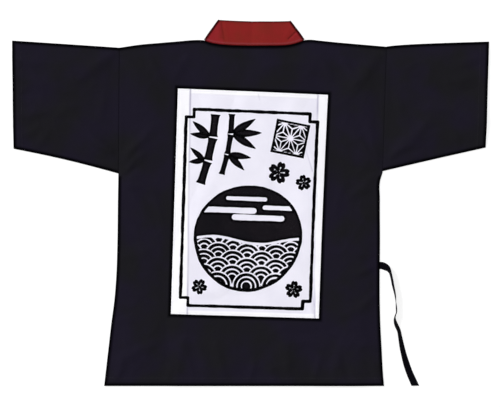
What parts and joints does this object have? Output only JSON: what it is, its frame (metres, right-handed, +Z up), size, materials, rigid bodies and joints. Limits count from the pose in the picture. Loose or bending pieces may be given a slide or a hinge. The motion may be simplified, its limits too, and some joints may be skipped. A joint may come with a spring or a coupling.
{
  "type": "sushi chef coat",
  "caption": "Wrap-over chef coat with short wide sleeves, a stand neckband, a waist tie and a sewn-on back panel, laid flat on its front with its back up.",
  "frame": {"origin": "middle of the laid-out coat's outline, on the surface it lies on", "axes": "+Z up, out of the coat's back; +Y from hem to neckband; +X from the wearer's left sleeve to the right one"},
  "size_m": [1.0488, 0.8053, 0.016],
  "materials": {
    "coat_cloth": "matt twill, nearly black",
    "band_cloth": "matt plain weave, rust red",
    "panel_cloth": "white plain weave, printed black",
    "tie_cloth": "matt plain weave, black"
  },
  "bodies": {
    "root": {"left_front": "coat_cloth", "right_front": "coat_cloth", "back": "coat_cloth", "back_patch": "panel_cloth", "left_sleeve": "coat_cloth", "right_sleeve": "coat_cloth", "collar": "band_cloth", "side_tie": "tie_cloth", "front_tie": "tie_cloth"}
  },
  "joints": []
}
